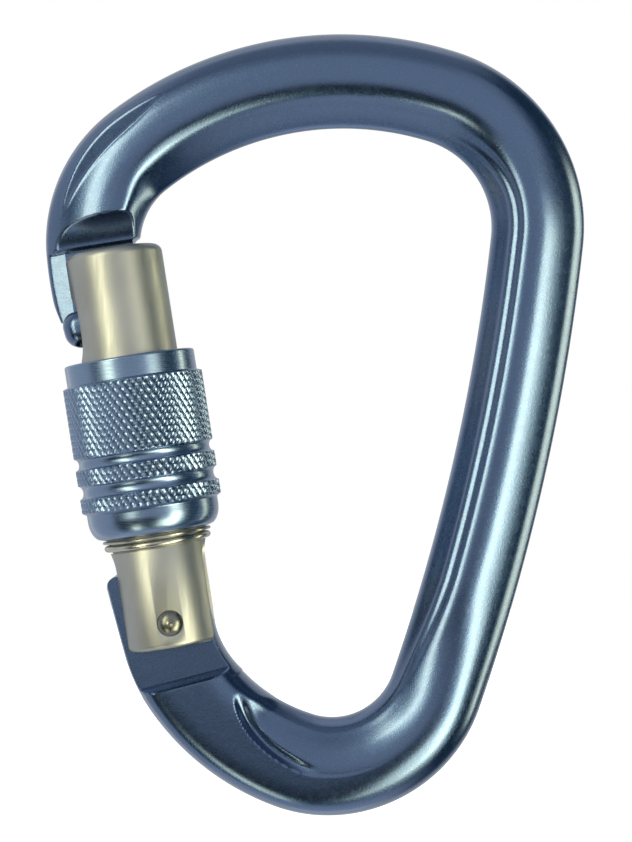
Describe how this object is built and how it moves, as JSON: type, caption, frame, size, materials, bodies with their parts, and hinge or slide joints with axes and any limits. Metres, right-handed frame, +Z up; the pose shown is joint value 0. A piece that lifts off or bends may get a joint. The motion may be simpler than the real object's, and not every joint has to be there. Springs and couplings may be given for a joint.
{
  "type": "locking carabiner",
  "caption": "Screw-gate locking carabiner: forged pear-shaped frame with a keylock nose, hinged sprung gate barrel, and a knurled sleeve that screws up over the nose.",
  "frame": {"origin": "inner apex of the wide basket, on the mid-plane, where a rope or anchor carries the load", "axes": "+Z up towards the wide end along the length, +X towards the spine away from the gate, +Y through the thickness towards the back"},
  "size_m": [0.0775, 0.0202, 0.1124],
  "materials": {
    "anodised_frame": "bead-blasted blue anodising",
    "anodised_sleeve": "satin blue anodising, knurled",
    "nickel_barrel": "satin nickel-coloured",
    "rivet_steel": "plain steel",
    "ring_steel": "bright steel",
    "spring_steel": "plain spring steel"
  },
  "bodies": {
    "frame": {"frame": "anodised_frame"},
    "gate": {"gate_barrel": "nickel_barrel", "gate_rivet": "rivet_steel", "gate_spring": "spring_steel", "stop_ring": "ring_steel"},
    "plunger": {"spring_plunger": "spring_steel"},
    "sleeve_carrier": {"thrust_washer": "ring_steel"},
    "sleeve": {"locking_sleeve": "anodised_sleeve"}
  },
  "joints": [
    {"name": "gate_hinge", "type": "hinge", "parent": "frame", "child": "gate", "pos_m": [-0.02261, 0, -0.07072], "axis": [0, 1, 0], "range_deg": [0, 28], "stiffness_Nm_per_rad": 0.35, "springref_deg": -57.3, "deforming": ["gate_spring"]},
    {"name": "sleeve_travel", "type": "slide", "parent": "gate", "child": "sleeve_carrier", "axis": [-0.1547, 0, 0.988], "range_m": [0, 0.006]},
    {"name": "sleeve_spin", "type": "hinge", "parent": "sleeve_carrier", "child": "sleeve", "pos_m": [-0.02507, 0, -0.05825], "axis": [-0.1547, 0, 0.988], "range_deg": [0, 1080.1]},
    {"name": "plunger_travel", "type": "slide", "parent": "gate", "child": "plunger", "axis": [-0.1547, 0, 0.988], "range_m": [0, 0.00141]}
  ],
  "couplings": [
    {"joint": "sleeve_spin", "follows": "sleeve_travel", "rad_per_m": 3141.6},
    {"joint": "plunger_travel", "follows": "gate_hinge", "m_per_rad": 0.0028648}
  ]
}
